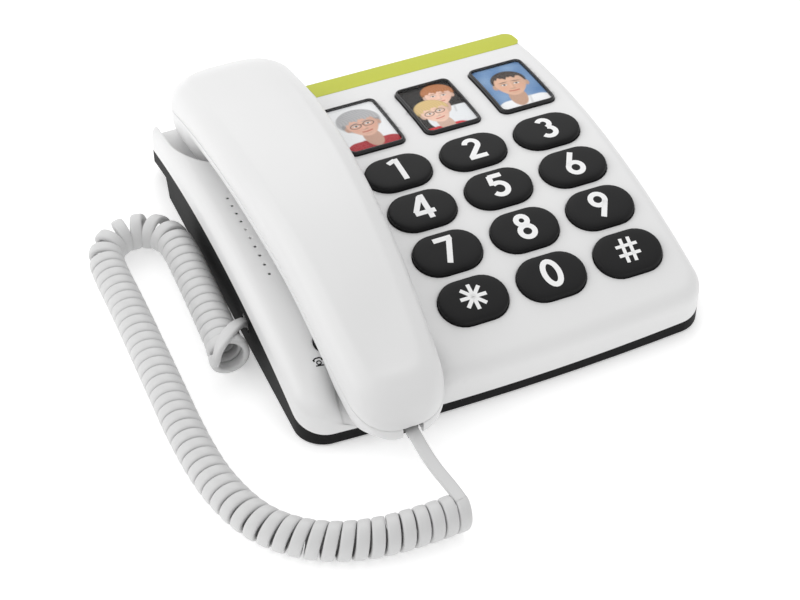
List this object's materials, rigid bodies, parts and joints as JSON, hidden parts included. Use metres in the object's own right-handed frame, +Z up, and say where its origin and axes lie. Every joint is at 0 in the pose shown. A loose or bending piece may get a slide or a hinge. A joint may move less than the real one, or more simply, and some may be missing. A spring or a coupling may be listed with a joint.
{
  "type": "corded desk telephone",
  "caption": "Low desk telephone with large keys, picture keys for speed dialling and an arched handset joined to the base by a curly cord.",
  "frame": {"origin": "centre of the footprint of the base and the handset on the surface that the feet stand on, cord left out", "axes": "+X to the user's right, +Y to the back, +Z up; the handset lies on the left, along Y"},
  "size_m": [0.2342, 0.2737, 0.0636],
  "materials": {
    "housing_white": "satin",
    "base_black": "fine texture",
    "strip_lime": "satin",
    "foot_rubber": "matte",
    "screw_steel": "bright",
    "board_green": "satin",
    "membrane_grey": "matte",
    "key_charcoal": "satin",
    "bezel_grey": "satin",
    "photo_print": "satin",
    "cover_clear": "clear",
    "speaker_metal": "satin",
    "weight_iron": "raw",
    "plug_clear": "clear",
    "cord_white": "satin"
  },
  "bodies": {
    "base": {"base_housing": "housing_white", "base_bottom": "base_black", "lime_strip": "strip_lime", "rubber_feet": "foot_rubber", "base_screws": "screw_steel", "main_board": "board_green", "keypad_board": "board_green", "keypad_membrane": "membrane_grey", "hook_spring": "screw_steel", "hook_switch": "base_black", "ringer_speaker": "speaker_metal", "cord_jack": "base_black", "line_jack": "base_black", "plug_base": "plug_clear", "cord_tail": "cord_white", "curly_coil": "cord_white", "cord_lead": "cord_white"},
    "handset": {"handset_top_shell": "housing_white", "handset_bottom_shell": "housing_white", "handset_mouth_shell": "housing_white", "handset_ear_shell": "housing_white", "earpiece_speaker": "speaker_metal", "microphone": "speaker_metal", "handset_weight": "weight_iron", "handset_jack": "housing_white", "handset_screw": "screw_steel", "plug_handset": "plug_clear"},
    "hook": {"hook_plunger": "housing_white"},
    "key_1_cap": {"key_1": "key_charcoal"},
    "key_2_cap": {"key_2": "key_charcoal"},
    "key_3_cap": {"key_3": "key_charcoal"},
    "key_4_cap": {"key_4": "key_charcoal"},
    "key_5_cap": {"key_5": "key_charcoal"},
    "key_6_cap": {"key_6": "key_charcoal"},
    "key_7_cap": {"key_7": "key_charcoal"},
    "key_8_cap": {"key_8": "key_charcoal"},
    "key_9_cap": {"key_9": "key_charcoal"},
    "key_star_cap": {"key_star": "key_charcoal"},
    "key_0_cap": {"key_0": "key_charcoal"},
    "key_hash_cap": {"key_hash": "key_charcoal"},
    "photo_key_1": {"photo_frame_1": "bezel_grey", "photo_card_1": "photo_print", "photo_cover_1": "cover_clear"},
    "photo_key_2": {"photo_frame_2": "bezel_grey", "photo_card_2": "photo_print", "photo_cover_2": "cover_clear"},
    "photo_key_3": {"photo_frame_3": "bezel_grey", "photo_card_3": "photo_print", "photo_cover_3": "cover_clear"},
    "round_button_cap": {"round_button": "key_charcoal"}
  },
  "joints": [
    {"name": "handset_lift", "type": "slide", "parent": "base", "child": "handset", "axis": [0, 0, 1], "range_m": [0, 0.06]},
    {"name": "hook_rise", "type": "slide", "parent": "base", "child": "hook", "axis": [0, 0, 1], "range_m": [0, 0.003], "deforming": ["hook_spring"]},
    {"name": "key_1_press", "type": "slide", "parent": "base", "child": "key_1_cap", "axis": [0, 0, -1], "range_m": [0, 0.0015], "stiffness_N_per_m": 600, "springref_m": -0.0004},
    {"name": "key_2_press", "type": "slide", "parent": "base", "child": "key_2_cap", "axis": [0, 0, -1], "range_m": [0, 0.0015], "stiffness_N_per_m": 600, "springref_m": -0.0004},
    {"name": "key_3_press", "type": "slide", "parent": "base", "child": "key_3_cap", "axis": [0, 0, -1], "range_m": [0, 0.0015], "stiffness_N_per_m": 600, "springref_m": -0.0004},
    {"name": "key_4_press", "type": "slide", "parent": "base", "child": "key_4_cap", "axis": [0, 0, -1], "range_m": [0, 0.0015], "stiffness_N_per_m": 600, "springref_m": -0.0004},
    {"name": "key_5_press", "type": "slide", "parent": "base", "child": "key_5_cap", "axis": [0, 0, -1], "range_m": [0, 0.0015], "stiffness_N_per_m": 600, "springref_m": -0.0004},
    {"name": "key_6_press", "type": "slide", "parent": "base", "child": "key_6_cap", "axis": [0, 0, -1], "range_m": [0, 0.0015], "stiffness_N_per_m": 600, "springref_m": -0.0004},
    {"name": "key_7_press", "type": "slide", "parent": "base", "child": "key_7_cap", "axis": [0, 0, -1], "range_m": [0, 0.0015], "stiffness_N_per_m": 600, "springref_m": -0.0004},
    {"name": "key_8_press", "type": "slide", "parent": "base", "child": "key_8_cap", "axis": [0, 0, -1], "range_m": [0, 0.0015], "stiffness_N_per_m": 600, "springref_m": -0.0004},
    {"name": "key_9_press", "type": "slide", "parent": "base", "child": "key_9_cap", "axis": [0, 0, -1], "range_m": [0, 0.0015], "stiffness_N_per_m": 600, "springref_m": -0.0004},
    {"name": "key_star_press", "type": "slide", "parent": "base", "child": "key_star_cap", "axis": [0, 0, -1], "range_m": [0, 0.0015], "stiffness_N_per_m": 600, "springref_m": -0.0004},
    {"name": "key_0_press", "type": "slide", "parent": "base", "child": "key_0_cap", "axis": [0, 0, -1], "range_m": [0, 0.0015], "stiffness_N_per_m": 600, "springref_m": -0.0004},
    {"name": "key_hash_press", "type": "slide", "parent": "base", "child": "key_hash_cap", "axis": [0, 0, -1], "range_m": [0, 0.0015], "stiffness_N_per_m": 600, "springref_m": -0.0004},
    {"name": "photo_key_1_press", "type": "slide", "parent": "base", "child": "photo_key_1", "axis": [0, 0, -1], "range_m": [0, 0.0015], "stiffness_N_per_m": 800, "springref_m": -0.0005},
    {"name": "photo_key_2_press", "type": "slide", "parent": "base", "child": "photo_key_2", "axis": [0, 0, -1], "range_m": [0, 0.0015], "stiffness_N_per_m": 800, "springref_m": -0.0005},
    {"name": "photo_key_3_press", "type": "slide", "parent": "base", "child": "photo_key_3", "axis": [0, 0, -1], "range_m": [0, 0.0015], "stiffness_N_per_m": 800, "springref_m": -0.0005},
    {"name": "round_button_press", "type": "slide", "parent": "base", "child": "round_button_cap", "axis": [0, 0, -1], "range_m": [0, 0.001], "stiffness_N_per_m": 500, "springref_m": -0.0004}
  ],
  "couplings": [
    {"joint": "hook_rise", "follows": "handset_lift", "ratio": 0.05}
  ]
}
